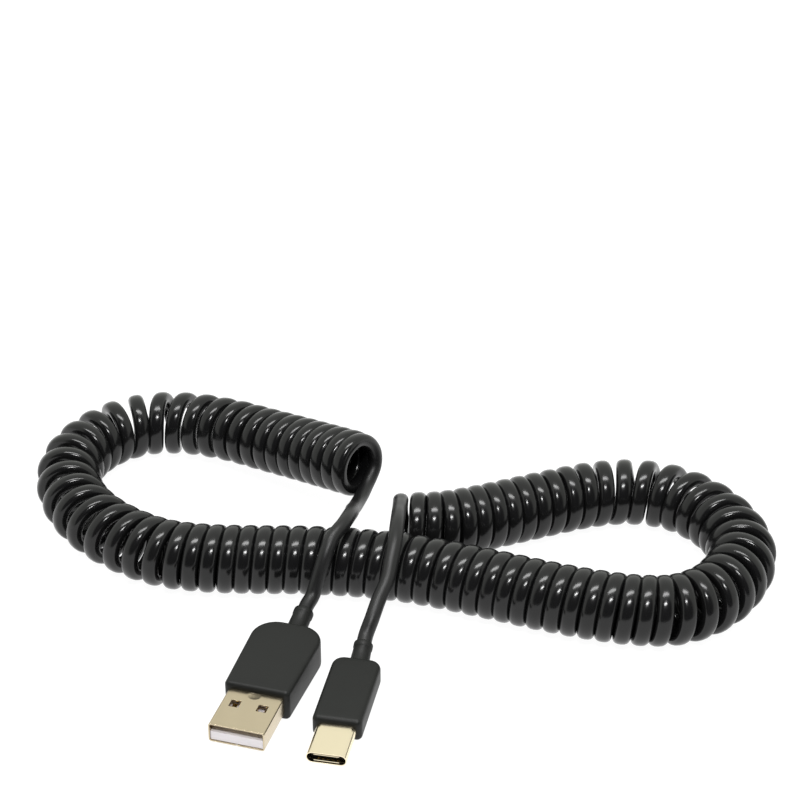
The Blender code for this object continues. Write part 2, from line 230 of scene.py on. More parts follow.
def inward(outline: np.ndarray) -> np.ndarray:
    """Returns each point's inward direction on an outline that runs anticlockwise."""
    along = unit(np.roll(outline, -1, axis=0) - np.roll(outline, 1, axis=0))
    return np.stack((-along[:, 1], along[:, 0]), axis=1)


def sheet_metal(name: str, outline: np.ndarray, stations: np.ndarray, wall: float,
                cut_out: Callable[[np.ndarray, np.ndarray, np.ndarray], np.ndarray],
                press: Callable[[np.ndarray, np.ndarray, np.ndarray], np.ndarray]
                ) -> bpy.types.Object:
    """Makes a sleeve of sheet metal with holes.

    The outer skin is the outline carried along Y, and the inner skin lies one wall inside it. Cells
    of the grid that are cut out are left off both skins, and a wall closes every open edge.

    Args:
        name: the object's name.
        outline: closed (x, z) outline, anticlockwise.
        stations: rising Y values of the grid's rows.
        wall: the sheet's thickness.
        cut_out: says for cell middles (x, y, z) which are holes.
        press: gives for points (x, y, z) how far the sheet is pressed inwards.

    Returns:
        The new object.
    """
    x, y = np.broadcast_arrays(outline[None, :, 0], stations[:, None])
    z = np.broadcast_to(outline[None, :, 1], x.shape)
    inner_way = inward(outline)
    depth = press(x, y, z)[..., None]
    way = np.stack((np.broadcast_to(inner_way[:, 0], x.shape), np.zeros_like(x),
                    np.broadcast_to(inner_way[:, 1], x.shape)), axis=-1)
    outer = np.stack((x, y, z), axis=-1) + way * depth
    inner = outer + way * wall
    middle = (outer[:-1] + outer[1:]) / 2
    middle = (middle + np.roll(middle, -1, axis=1)) / 2
    keep = ~cut_out(middle[..., 0], middle[..., 1], middle[..., 2])
    rows, columns = x.shape
    number = np.arange(rows * columns).reshape(rows, columns)
    after = np.roll(number, -1, axis=1)
    inside = rows * columns
    skin = np.stack((number[:-1], after[:-1], after[1:], number[1:]), axis=-1)[keep]
    faces = [skin, (skin + inside)[:, ::-1]]
    bordered = np.pad(keep, ((1, 1), (0, 0)))
    rim = bordered[1:] != bordered[:-1]
    a, b = number[rim], after[rim]
    faces.append(np.stack((a, b, b + inside, a + inside), axis=-1))
    side = keep != np.roll(keep, 1, axis=1)
    a, b = number[:-1][side], number[1:][side]
    faces.append(np.stack((a, b, b + inside, a + inside), axis=-1))
    used, faces = np.unique(np.concatenate(faces), return_inverse=True)
    points = np.concatenate((outer.reshape(-1, 3), inner.reshape(-1, 3)))[used]
    return make_object(name, points, faces.reshape(-1, 4), sharp=30.0)


def no_holes(x: np.ndarray, y: np.ndarray, z: np.ndarray) -> np.ndarray:
    """Leaves every cell of a sleeve in place."""
    return np.zeros(x.shape, dtype=bool)


def no_press(x: np.ndarray, y: np.ndarray, z: np.ndarray) -> np.ndarray:
    """Leaves a sleeve's sheet flat."""
    return np.zeros(x.shape)


def rolled_bevel(obj: bpy.types.Object, width: float) -> None:
    """Rounds an object's crisp edges by a bevel.

    Args:
        obj: the object.
        width: the bevel's width.
    """
    rounding = obj.modifiers.new("rolled_edges", "BEVEL")
    rounding.width = width
    rounding.segments = 2
    rounding.limit_method = "ANGLE"
    rounding.angle_limit = math.radians(50)
    rounding.harden_normals = True


# Finishes


def surface_group() -> bpy.types.NodeTree:
    """Builds the node group that gives every finish its fine grain and its faint cloudiness.

    Both are noise on Object coordinates, drawn out by Stretch. The colour is the base times one
    plus the cloud noise about zero, and the roughness is the middle one plus the same noise.

    Returns:
        The group. It takes a base colour, how far the colour clouds, how many grains fit in a
        metre, the middle roughness, how far the roughness clouds and how the noise is drawn out.
        It puts out a colour, a roughness and a height.
    """
    group = bpy.data.node_groups.new("fine_surface", "ShaderNodeTree")
    for label, kind in (("Base", "NodeSocketColor"), ("Cloud", "NodeSocketFloat"),
                        ("Grain Scale", "NodeSocketFloat"), ("Roughness", "NodeSocketFloat"),
                        ("Spread", "NodeSocketFloat"), ("Stretch", "NodeSocketVector")):
        group.interface.new_socket(name=label, in_out="INPUT", socket_type=kind)
    for label, kind in (("Color", "NodeSocketColor"), ("Roughness", "NodeSocketFloat"),
                        ("Height", "NodeSocketFloat")):
        group.interface.new_socket(name=label, in_out="OUTPUT", socket_type=kind)
    nodes = group.nodes
    link = group.links.new
    given = nodes.new("NodeGroupInput")
    out = nodes.new("NodeGroupOutput")
    place = nodes.new("ShaderNodeTexCoord")
    stretched = nodes.new("ShaderNodeVectorMath")
    stretched.operation = "MULTIPLY"
    link(place.outputs["Object"], stretched.inputs[0])
    link(given.outputs["Stretch"], stretched.inputs[1])
    grain = nodes.new("ShaderNodeTexNoise")
    grain.inputs["Detail"].default_value = 3.0
    link(stretched.outputs[0], grain.inputs["Vector"])
    link(given.outputs["Grain Scale"], grain.inputs["Scale"])
    cloud = nodes.new("ShaderNodeTexNoise")
    cloud.inputs["Scale"].default_value = 260.0
    cloud.inputs["Detail"].default_value = 2.0
    link(stretched.outputs[0], cloud.inputs["Vector"])
    centred = nodes.new("ShaderNodeMath")
    centred.operation = "SUBTRACT"
    centred.inputs[1].default_value = 0.5
    link(cloud.outputs["Fac"], centred.inputs[0])
    swing = nodes.new("ShaderNodeMath")
    swing.operation = "MULTIPLY_ADD"
    swing.inputs[2].default_value = 1.0
    link(centred.outputs[0], swing.inputs[0])
    link(given.outputs["Cloud"], swing.inputs[1])
    tint = nodes.new("ShaderNodeVectorMath")
    tint.operation = "SCALE"
    link(given.outputs["Base"], tint.inputs[0])
    link(swing.outputs[0], tint.inputs["Scale"])
    link(tint.outputs[0], out.inputs["Color"])
    rough = nodes.new("ShaderNodeMath")
    rough.operation = "MULTIPLY_ADD"
    link(centred.outputs[0], rough.inputs[0])
    link(given.outputs["Spread"], rough.inputs[1])
    link(given.outputs["Roughness"], rough.inputs[2])
    link(rough.outputs[0], out.inputs["Roughness"])
    link(grain.outputs["Fac"], out.inputs["Height"])
    return group


SURFACE = surface_group()


@dataclass(frozen=True)
class Finish:
    """One surface finish.

    Args:
        name: the material's name.
        slot: the name of its material slot; not used.
        base: linear base colour.
        roughness: middle of the roughness.
        metallic: 1 for metal, 0 for plastic.
        cloud: how far the colour clouds, as a share.
        spread: how far the roughness clouds.
        grain: how many grains fit in a metre.
        relief: height of the grain in metres.
        stretch: how the grain is drawn out along X, Y and Z.
        ior: index of refraction.
        gloss_share: name of the mesh attribute that says how far each point is glossy, if any.
        dull: roughness where that share is zero.
    """

    name: str
    slot: str
    base: Colour
    roughness: float
    metallic: float = 0.0
    cloud: float = 0.2
    spread: float = 0.08
    grain: float = 2600.0
    relief: float = 0.00001
    stretch: Colour = (1.0, 1.0, 1.0)
    ior: float = 1.5
    gloss_share: str = ""
    dull: float = 0.5

    def material(self) -> bpy.types.Material:
        """Builds the finish's material, the first time that it's asked for.

        Returns:
            The material.
        """
        known = bpy.data.materials.get(self.name)
        if known is not None:
            return known
        material = bpy.data.materials.new(self.name)
        material.use_nodes = True
        nodes = material.node_tree.nodes
        link = material.node_tree.links.new
        shader = nodes["Principled BSDF"]
        shader.inputs["Metallic"].default_value = self.metallic
        shader.inputs["IOR"].default_value = self.ior
        surface = nodes.new("ShaderNodeGroup")
        surface.node_tree = SURFACE
        surface.inputs["Base"].default_value = (*self.base, 1.0)
        surface.inputs["Cloud"].default_value = self.cloud
        surface.inputs["Grain Scale"].default_value = self.grain
        surface.inputs["Roughness"].default_value = self.roughness
        surface.inputs["Spread"].default_value = self.spread
        surface.inputs["Stretch"].default_value = self.stretch
        bump = nodes.new("ShaderNodeBump")
        bump.inputs["Strength"].default_value = 1.0
        bump.inputs["Distance"].default_value = self.relief
        if self.gloss_share:
            share = nodes.new("ShaderNodeAttribute")
            share.attribute_name = self.gloss_share
            between = nodes.new("ShaderNodeMapRange")
            between.inputs["To Min"].default_value = self.dull
            between.inputs["To Max"].default_value = self.roughness
            link(share.outputs["Fac"], between.inputs["Value"])
            link(between.outputs["Result"], surface.inputs["Roughness"])
        link(surface.outputs["Color"], shader.inputs["Base Color"])
        link(surface.outputs["Roughness"], shader.inputs["Roughness"])
        link(surface.outputs["Height"], bump.inputs["Height"])
        link(bump.outputs["Normal"], shader.inputs["Normal"])
        return material

    def dress(self, obj: bpy.types.Object) -> None:
        """Gives an object this finish in every slot.

        Args:
            obj: the object, which gets a slot if it has none.
        """
        if not obj.data.materials:
            obj.data.materials.append(self.material())
        for number in range(len(obj.material_slots)):
            obj.material_slots[number].material = self.material()


JACKET = Finish("cord_jacket_gloss", "cord_jacket", (0.006, 0.006, 0.0062), 0.18, relief=0.000003,
                spread=0.05, ior=1.42, gloss_share="wound", dull=0.42)
MOULDING = Finish("overmould_satin", "overmould", (0.008, 0.0085, 0.0078), 0.46, relief=0.000012,
                  cloud=0.25, ior=1.32)
NICKEL = Finish("shell_nickel", "nickel_shell", (0.60, 0.51, 0.36), 0.24, metallic=1.0, cloud=0.1,
                relief=0.000003, stretch=(1.0, 0.12, 1.0))
BRIGHT_STEEL = Finish("shell_bright", "bright_shell", (0.94, 0.83, 0.60), 0.20, metallic=1.0,
                      cloud=0.08, relief=0.000002, stretch=(1.0, 0.2, 1.0))
WHITE_PLASTIC = Finish("tongue_white", "white_plastic", (0.82, 0.78, 0.80), 0.4, cloud=0.06)
BLACK_PLASTIC = Finish("liner_black", "black_plastic", (0.012, 0.012, 0.012), 0.35)
GOLD = Finish("contact_gold", "contacts", (0.83, 0.6, 0.24), 0.22, metallic=1.0, relief=0.000002)


# The cord


@dataclass
class LaidPlug:
    """Where a plug lies.

    Args:
        rear: floor point under its moulded body's rear end.
        turn: how far its nose turns from -Y towards -X, in degrees.
        length: its body's length.
        height: its body's height, which rests on the floor.
        boot_length: from the body's rear end to the boot's.
        lift: how steeply the boot rises, in degrees.
    """

    rear: np.ndarray
    turn: float
    length: float
    height: float
    boot_length: float
    lift: float

    def nose(self) -> np.ndarray:
        """Returns the way that the nose points."""
        angle = math.radians(self.turn)
        return np.array((-math.sin(angle), -math.cos(angle), 0.0))

    def boot_end(self, past: float = 0.0) -> np.ndarray:
        """Works out a point on the boot's own line.

        Args:
            past: how far the point lies past the boot's rear end.

        Returns:
            The middle of the boot's rear end, or the point that far past it.
        """
        rise = math.radians(self.lift)
        way = np.array((0.0, 0.0, math.sin(rise))) - self.nose() * math.cos(rise)
        return self.rear + (0.0, 0.0, self.height / 2) + way * (self.boot_length + past)

    def lay(self, obj: bpy.types.Object) -> None:
        """Moves an object's mesh from the plug's own frame to where the plug lies.

        Y turns to the way that the nose points, and X to the right of it.

        Args:
            obj: the object.
        """
        nose = self.nose()
        axes = np.array(((nose[1], -nose[0], 0.0), nose, (0.0, 0.0, 1.0)))
        points = np.empty(3 * len(obj.data.vertices))
        obj.data.vertices.foreach_get("co", points)
        origin = self.rear + nose * self.length + (0.0, 0.0, self.height / 2)
        points = points.reshape(-1, 3) @ axes + origin
        obj.data.vertices.foreach_set("co", points.ravel())
        obj.data.update()


@dataclass
class CurlyCord:
    """The whole cord: one straight end, the coil and the other straight end.

    Args:
        start: the plug that its first end goes into.
        finish: the plug that its last end goes into.
        width: the oval cord's width along the coil's middle line.
        thickness: its thickness outwards from that line.
        drawn: its width and thickness in the straight ends.
        squareness: exponent of its outline in the coil, where 2 is an ellipse.
        coil_diameter: the coil's outer diameter.
        length: the cord's whole length along its own middle line; not used.
        spacing: distance between the rings of its skin.
        in_boot: how deep each straight end reaches into its boot.
        past_boot: how far past its boot each straight end keeps to the boot's line.
        run_on: how far the coil's middle line runs straight on past both its ends.
        line_spacing: distance between the points of the coil's middle line.
    """

    start: LaidPlug
    finish: LaidPlug
    width: float = 3.8 * MM
    thickness: float = 3.2 * MM
    drawn: float = 3.3 * MM
    squareness: float = 2.5
    coil_diameter: float = 15.5 * MM
    length: float = 3.46
    spacing: float = 0.8 * MM
    in_boot: float = 3.0 * MM
    past_boot: float = 1.9 * MM
    run_on: float = 6.0 * MM
    line_spacing: float = 0.25 * MM

    # How many knots of a straight end the cord takes to turn level, and how many to grow round.
    KNOTS_TO_TURN = 6
    KNOTS_TO_GROW = 4
    # Middle line of the coil in mm, which starts 3 mm further out than the CAD's tube.
    COIL_ROUTE = (
        (-9.3, 22.5, 14.0), (-16.2, 28.2, 12.7), (-24.1, 34.7, 11.2), (-32.5, 41.0, 9.9),
        (-42.5, 47.8, 8.7), (-53.5, 52.2, 7.9), (-62.5, 52.4, 7.6), (-70.5, 48.2, 7.6),
        (-76.0, 41.4, 7.6), (-79.0, 32.6, 7.6), (-78.4, 23.6, 7.6), (-75.2, 15.4, 7.6),
        (-69.6, 7.4, 7.6), (-62.0, 0.6, 7.6), (-53.0, -4.4, 7.6), (-44.0, -6.3, 7.6),
        (-33.0, -6.9, 7.6), (-20.0, -7.2, 7.6), (-8.3, -8.4, 7.6), (1.6, -10.3, 7.6),
        (11.0, -13.2, 7.6), (20.9, -16.8, 7.6), (31.9, -20.9, 7.6), (42.4, -24.2, 7.6),
        (51.0, -26.0, 7.6), (59.5, -25.9, 7.6), (67.2, -22.0, 7.6), (73.2, -15.0, 7.6),
        (76.8, -6.2, 7.6), (75.9, 3.2, 7.6), (71.4, 11.9, 7.6), (64.0, 18.5, 7.6),
        (54.5, 21.0, 7.6), (45.0, 19.8, 7.6), (36.0, 16.7, 7.6), (26.1, 12.8, 7.6),
        (16.6, 9.2, 7.6), (9.6, 7.2, 7.6), (2.8, 6.6, 7.6),
    )
    # How many turns have gone by, and how far along the middle line in mm.
    TURNS = (
        (3.93, 0.7), (5.0, 4.3), (6.0, 7.8), (7.0, 11.2), (10.0, 22.5), (13.0, 35.0),
        (16.0, 50.0), (18.0, 61.0), (20.0, 72.5), (22.0, 83.5), (24.0, 95.0), (26.0, 107.0),
        (28.0, 118.5), (30.0, 129.5), (32.0, 138.5), (35.0, 150.0), (40.0, 168.5), (45.0, 187.5),
        (50.0, 207.0), (55.0, 225.5), (60.0, 244.0), (64.0, 259.0), (66.0, 268.5), (68.0, 279.0),
        (70.0, 290.5), (72.0, 302.0), (74.0, 313.0), (76.0, 323.5), (80.0, 341.0), (84.0, 356.0),
        (87.0, 366.8), (89.0, 374.3), (89.59, 377.1),
    )
    # The way out from the coil at which its turns are counted, towards the camera.
    COUNTED_SIDE = (0.04, -0.757, 0.652)
    TAIL_A_ROUTE = (
        (-9.6, 24.6, 19.5), (-7.4, 26.6, 17.6), (-6.0, 27.2, 14.5), (-6.0, 26.5, 11.6),
        (-7.0, 24.6, 9.5), (-7.9, 22.6, 8.5), (-8.7, 20.0, 8.0), (-9.6, 17.0, 7.9),
        (-10.3, 13.6, 8.6), (-10.7, 9.9, 10.2), (-10.9, 5.6, 12.6), (-10.9, 0.8, 15.1),
        (-11.4, -3.8, 17.0), (-12.6, -8.2, 17.6), (-14.8, -11.9, 16.7), (-16.2, -14.7, 14.4),
        (-17.4, -16.5, 11.4), (-18.4, -17.8, 8.4), (-19.2, -19.2, 6.4),
    )
    TAIL_C_ROUTE = (
        (0.15, 12.2, 6.8), (0.1, 11.4, 10.6), (0.2, 8.8, 13.1), (0.1, 5.0, 14.3),
        (-0.2, 0.8, 15.5), (-0.4, -3.8, 16.9), (-0.7, -9.0, 17.6), (-1.1, -13.6, 16.9),
        (-1.9, -17.8, 14.9), (-2.8, -21.8, 12.3), (-4.6, -25.7, 10.0), (-6.0, -29.4, 7.8),
    )

    def laid(self, route: Sequence) -> np.ndarray:
        """Returns a route in metres, lifted by as much as its lowest part rests on the floor."""
        lowest = min(point[2] for point in self.COIL_ROUTE) * MM
        return (np.array(route) * MM + CENTRE) * (1.0, 1.0, self.coil_diameter / 2 / lowest)

    def coil(self) -> tuple[np.ndarray, np.ndarray]:
        """Winds the coil's own stretch of the cord.

        A point at turn k lies one winding radius out from the middle line, at the distance along it
        that TURNS gives for k. Its angle about the line is k whole turns past the counted side,
        left-handed, so it goes from the top over the line's left side.

        Returns:
            The winding's points, and the middle line's direction at each.
        """
        line = smooth_line(self.laid(self.COIL_ROUTE), self.line_spacing)
        ways = unit(np.gradient(line, axis=0))
        line = np.vstack((line[0] - ways[0] * self.run_on, line, line[-1] + ways[-1] * self.run_on))
        ways = np.vstack((ways[0], ways, ways[-1]))
        walked = distance_along(line) - self.run_on
        table = np.array(self.TURNS)
        turns = np.arange(table[0, 0], table[-1, 0], 1 / Detail.PER_TURN.value)
        along = ease_through(turns, table[:, 0], table[:, 1]) * MM
        middle = np.stack([np.interp(along, walked, line[:, k]) for k in range(3)], axis=1)
        way = unit(np.stack([np.interp(along, walked, ways[:, k]) for k in range(3)], axis=1))
        up = unit(np.array((0.0, 0.0, 1.0)) - way * way[:, 2:])
        across = np.cross(way, up)
        side = np.array(self.COUNTED_SIDE)
        angle = 2 * math.pi * turns + np.arctan2(-(across @ side), up @ side)
        radius = (self.coil_diameter - self.thickness) / 2
        out = up * np.cos(angle)[:, None] - across * np.sin(angle)[:, None]
        return middle + out * radius, way

    def centreline(self) -> tuple[np.ndarray, np.ndarray, np.ndarray]:
        """Joins both straight ends and the coil into one even line.

        The direction that crosses the cord is level in the straight ends and follows the coil's
        middle line in the coil. Between them it turns evenly from one knot to the next.

        Returns:
            The line's points, a direction that crosses the cord at each, and how far each lies in
            the coil, from 0 to 1.
        """
        wound, ways = self.coil()
        first = self.laid(self.TAIL_A_ROUTE[::-1])
        last = self.laid(self.TAIL_C_ROUTE)
        outwards = (-self.in_boot, 0.0, self.past_boot)
        into_a = np.array([self.start.boot_end(past) for past in outwards])
        into_c = np.array([self.finish.boot_end(past) for past in outwards[::-1]])
        knots = np.vstack((into_a, first, wound, last, into_c))
        level = np.array((-1.0, 0.0, 0.0))
        before = len(into_a) + len(first)
        coil_end = before + len(ways)
        after = len(last) + len(into_c)
        cross = np.vstack((np.tile(level, (before, 1)), ways, np.tile(level, (after, 1))))
        for start, stop, end in ((before - self.KNOTS_TO_TURN, before, ways[0]),
                                 (coil_end, coil_end + self.KNOTS_TO_TURN, ways[-1])):
            share = np.linspace(0.0, 1.0, stop - start)[:, None]
            share = share if start < before else share[::-1]
            cross[start:stop] = level * (1 - share) + end * share
        line = smooth_line(knots, self.spacing)
        at = distance_along(knots) / distance_along(knots)[-1]
        here = distance_along(line) / distance_along(line)[-1]
        crossing = np.stack([np.interp(here, at, cross[:, k]) for k in range(3)], axis=1)
        ramp = [before - self.KNOTS_TO_GROW, before, coil_end - 1, coil_end + self.KNOTS_TO_GROW]
        return line, crossing, np.interp(here, at[ramp], (0.0, 1.0, 1.0, 0.0))

    def build(self, pieces: Sequence[bpy.types.Object]) -> bpy.types.Object:
        """The skin is a rounded oval in the coil and round in the straight ends, carried square to
        the middle line. Each ring's first point lies towards the direction that crosses the cord
        there.

        Args:
            pieces: the plug's pieces on the cord's last end; not used.

        Returns:
            The cord.
        """
        line, crossing, wound = self.centreline()
        way = unit(np.gradient(line, axis=0))
        side = unit(crossing - way * np.sum(crossing * way, axis=1, keepdims=True))
        up = np.cross(way, side)
        angle = np.linspace(0.0, 2 * math.pi, Detail.AROUND_CORD.value, endpoint=False)
        wound = wound[:, None, None]
        circle = np.stack((np.cos(angle), np.sin(angle)), axis=-1)
        oval = np.sign(circle) * np.abs(circle) ** (2 / (2 + (self.squareness - 2) * wound))
        coiled = np.array((self.width, self.thickness))
        oval = oval * (self.drawn + (coiled - self.drawn) * wound) / 2
        rings = line[:, None] + side[:, None] * oval[..., :1] + up[:, None] * oval[..., 1:]
        points, faces = swept_rings(rings)
        cord = make_object("curly_cord", points, faces, sharp=70.0)
        glossy = cord.data.attributes.new(JACKET.gloss_share, "FLOAT", "POINT")
        glossy.data.foreach_set("value", np.repeat(wound.ravel(), len(angle)))
        JACKET.dress(cord)
        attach(cord, ROOT)
        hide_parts("cord_coil", "cord_tail_usb_a", "cord_tail_usb_c")
        measured = float(distance_along(line)[-1])
        tuple(self.start.boot_end())
        LOG.info("curly_cord: %d rings, %.3f m along its middle line", len(line), measured)
        return cord


# The plugs


@dataclass
class Overmould:
    """A plug's moulded body with its boot.

    Args:
        name: the visual piece's name.
        node: the CAD node that it stands for.
        place: where the plug lies.
        nose_width: the body's width at the nose.
        width: its width at the rear.
        nose_radius: the nose corners' radius in plan.
        rear_radius: the rear corners' radius in plan.
        edge: the radius of its long edges.
        boot_diameter: the collar's diameter.
        crown: how far the flat faces bulge.
        collar: how far the collar stands out of the rod.
        side_spacing: widest gap between the points of the plan outline.
    """

    name: str
    node: str
    place: LaidPlug
    nose_width: float
    width: float
    nose_radius: float
    rear_radius: float
    edge: float
    boot_diameter: float
    crown: float = 0.12 * MM
    collar: float = 0.15 * MM
    side_spacing: float = 0.7 * MM

    # The flat faces close on a middle line, which stops this share of the body's width short of
    # both its ends. Their rings lie at these shares of the way in to it.
    STOPS_SHORT = 0.3
    FACE_RINGS = (0.12, 0.3, 0.55, 0.8, 1.0)
    # The rod's root: how far in front of the body's rear end, and how much wider, in mm.
    ROOT_RINGS = ((1.0, 0.5), (0.0, 0.42), (-0.35, 0.28), (-0.8, 0.2), (-2.0, 0.1))
    # The collar: how far in front of the boot's rear end, and how much wider than the rod, in mm.
    COLLAR_RINGS = ((1.5, 0.0), (1.4, 0.08), (1.25, 0.15), (0.3, 0.15), (0.14, 0.11), (0.03, 0.0),
                    (0.0, -0.15))

    def body(self) -> np.ndarray:
        """Works out the body's rings.

        The plan outline is narrow at the nose and rounder at the rear. Each ring is that outline
        moved inwards and up: round a quarter circle at the lower edge, up the side, round a quarter
        circle at the upper edge, and then in towards the body's middle line over a slight crown.

        Returns:
            Array of rings by points by coordinates, from the bottom's middle to the top's.
        """
        nose_x = self.nose_width / 2 - self.nose_radius
        rear_x = self.width / 2 - self.rear_radius
        rear_y = self.rear_radius - self.place.length
        plan = np.concatenate((
            corner_points(nose_x, -self.nose_radius, self.nose_radius, 0),
            corner_points(-nose_x, -self.nose_radius, self.nose_radius, 90),
            corner_points(-rear_x, rear_y, self.rear_radius, 180),
            corner_points(rear_x, rear_y, self.rear_radius, 270)))
        plan = fill_in(plan, self.side_spacing)
        way = inward(plan)
        angle = np.radians(np.linspace(0.0, 90.0, Detail.PER_EDGE.value + 1))
        inset = self.edge * (1 - np.cos(angle))
        half = self.place.height / 2
        lift = half - self.edge - self.crown + self.edge * np.sin(angle)
        rim = plan + way * inset[-1]
        spine = np.stack((np.zeros(len(plan)),
                          np.clip(rim[:, 1], self.STOPS_SHORT * self.width - self.place.length,
                                  -self.STOPS_SHORT * self.nose_width)), axis=1)
        rings = [np.column_stack((plan + way * d, np.full(len(plan), h)))
                 for d, h in zip(inset, lift)]
        for share in self.FACE_RINGS:
            height = half - self.crown * (1 - share) ** 2
            rings.append(np.column_stack((rim + (spine - rim) * share, np.full(len(plan), height))))
        upper = np.array(rings)
        return np.concatenate((upper[::-1] * (1, 1, -1), upper))

    def boot(self) -> np.ndarray:
        """Works out the boot's rings.

        It is a round rod that rises from the body and is a little wider there. A low collar stands
        out of it at its rear end. Each ring is a circle about the rod's line, at its own place
        along it, and the whole is turned by the lift about the middle of the body's rear end.

        Returns:
            Array of rings by points by coordinates.
        """
        rod = self.boot_diameter / 2 - self.collar
        stations = [(front * MM, rod + wider * MM) for front, wider in self.ROOT_RINGS]
        stations += [(front * MM - self.place.boot_length, rod + wider * MM)
                     for front, wider in self.COLLAR_RINGS]
        along, radius = np.array(stations).T[:, :, None]
        angle = np.linspace(0.0, 2 * math.pi, Detail.AROUND_BOOT.value, endpoint=False)
        across = radius * np.cos(angle)
        up = radius * np.sin(angle)
        rise = math.radians(self.place.lift)
        return np.stack((across, along * math.cos(rise) + up * math.sin(rise) - self.place.length,
                         up * math.cos(rise) - along * math.sin(rise)), axis=-1)

    def build(self) -> bpy.types.Object:
        """Makes the body and boot.

        Returns:
            Both as one piece.
        """
        points, faces = swept_rings(self.body())
        boot_points, boot_faces = swept_rings(self.boot(), len(points))
        piece = make_object(self.name, np.vstack((points, boot_points)), faces + boot_faces,
                            sharp=50.0)
        self.place.lay(piece)
        MOULDING.dress(piece)
        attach(piece, ROOT)
        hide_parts(self.node)
        return piece


def dress_nodes(finish: Finish, *names: str) -> list[bpy.types.Object]:
    """Gives CAD nodes a finish.

    Args:
        finish: the finish.
        names: the nodes' names.

    Returns:
        The nodes' objects.
    """
    objects = [bpy.data.objects[name] for name in names]
    for obj in objects:
        finish.dress(obj)
    return objects


@dataclass
class UsbAPlug:
    """The USB-A plug: folded shell, white tongue, contacts and moulded body.

    Args:
        shell_width: the shell's outer width.
        shell_height: its outer height.
        sheet: its sheet's thickness.
        corner: its long edges' outer radius.
        shell_out: how far it stands out of the body.
        shell_in: how far it reaches into the body.
        rolled: how far its crisp edges are rounded.
        near_face: how near to a broad face a cell lies to be cut out of it.
        window: each window's width and length.
        window_spacing: between the windows' middles.
        window_from_mouth: from the mouth to the windows.
        seam: width of the seam underneath.
        dimple_width: width of the half-moon pressed into the top.
        dimple_length: its length.
        dimple_depth: its depth.
        dimple_middle: from the body's front face to its middle.
        tongue: the white tongue's height.
        tongue_setback: from the mouth back to the tongue's front.
        tongue_edge: how far the tongue's edges are rounded.
        block_front: how far the block behind the tongue stands out of the body.
        block_back: how far it reaches into the body.
        gap: the CAD's gap between the tongue and the sheet.
        fit: the gap here, where the tongue fills the shell more closely.
    """

    shell_width: float = 12.0 * MM
    shell_height: float = 4.5 * MM
    sheet: float = 0.3 * MM
    corner: float = 0.6 * MM
    shell_out: float = 11.8 * MM
    shell_in: float = 4.0 * MM
    rolled: float = 0.07 * MM
    near_face: float = 0.1 * MM
    window: float = 2.1 * MM
    window_spacing: float = 5.9 * MM
    window_from_mouth: float = 6.4 * MM
    seam: float = 0.15 * MM
    dimple_width: float = 2.9 * MM
    dimple_length: float = 2.4 * MM
    dimple_depth: float = 0.14 * MM
    dimple_middle: float = 0.95 * MM
    tongue: float = 1.85 * MM
    tongue_setback: float = 0.25 * MM
    tongue_edge: float = 0.08 * MM
    block_front: float = 0.9 * MM
    block_back: float = 3.3 * MM
    gap: float = 0.3 * MM
    fit: float = 0.04 * MM

    def place(self) -> LaidPlug:
        """Returns where the plug lies."""
        return LaidPlug(rear=np.array((-22.87, -29.81, 0.0)) * MM + CENTRE, turn=16.5,
                        length=23.5 * MM, height=7.4 * MM, boot_length=7.1 * MM, lift=12.0)

    def holes(self, x: np.ndarray, y: np.ndarray, z: np.ndarray) -> np.ndarray:
        """Says which cells of the shell are cut out.

        A cell on a broad face lies in a window if it is less than half a window from a window's
        middle both ways. One underneath lies in the seam if it is within half the seam's width of
        the plug's middle.

        Args:
            x: cell middles across the plug.
            y: the same along it.
            z: the same upwards.

        Returns:
            True for each cell in a window or in the seam.
        """
        front = self.shell_out - self.window_from_mouth
        flat = np.abs(z) > self.shell_height / 2 - self.near_face
        across = np.abs(np.abs(x) - self.window_spacing / 2) < self.window / 2
        along = (y < front) & (y > front - self.window)
        return (flat & across & along) | ((z < 0) & flat & (np.abs(x) < self.seam / 2))

    def dimple(self, x: np.ndarray, y: np.ndarray, z: np.ndarray) -> np.ndarray:
        """Gives the depth of the half-moon, a bowl with an oval rim that the body's face cuts."""
        reach = np.hypot(2 * x / self.dimple_width,
                         2 * (y - self.dimple_middle) / self.dimple_length)
        return np.where(z > 0, self.dimple_depth * np.clip(1 - reach**2, 0.0, 1.0), 0.0)

    def build_shell(self, place: LaidPlug) -> bpy.types.Object:
        """Makes the shell with its windows, its seam and its pressed half-moon.

        The grid's lines fall on the edges of the windows and the seam, and lie close together over
        the half-moon.

        Args:
            place: where the plug lies.

        Returns:
            The shell.
        """
        front = self.shell_out - self.window_from_mouth
        outline = rounded_box_outline(self.shell_width, self.shell_height, self.corner)
        breaks = [s * (self.window_spacing / 2 + t * self.window / 2)
                  for s in (-1, 1) for t in (-1, 1)]
        breaks = sorted(breaks + [-self.seam / 2, self.seam / 2])
        corner = Detail.PER_CORNER.value + 1
        half = self.shell_height / 2
        over_dimple = np.arange(-1.65, 1.7, 0.15) * MM
        along_dimple = np.arange(-0.6, 2.2, 0.12) * MM
        top = np.array(sorted(set(np.round(list(breaks) + list(over_dimple), 9)), reverse=True))
        low = np.array(breaks)
        outline = np.concatenate((
            outline[:corner], np.column_stack((top, np.full(len(top), half))),
            outline[corner:3 * corner], np.column_stack((low, np.full(len(low), -half))),
            outline[3 * corner:]))
        stations = np.unique(np.round(np.concatenate((
            (-self.shell_in, front - self.window, front, self.shell_out),
            along_dimple,
            np.linspace(front, self.shell_out, 6))), 9))
        shell = sheet_metal("usb_a_shell_dressed", outline, stations, self.sheet, self.holes,
                            self.dimple)
        rolled_bevel(shell, self.rolled)
        place.lay(shell)
        NICKEL.dress(shell)
        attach(shell, ROOT)
        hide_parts("usb_a_shell")
        return shell

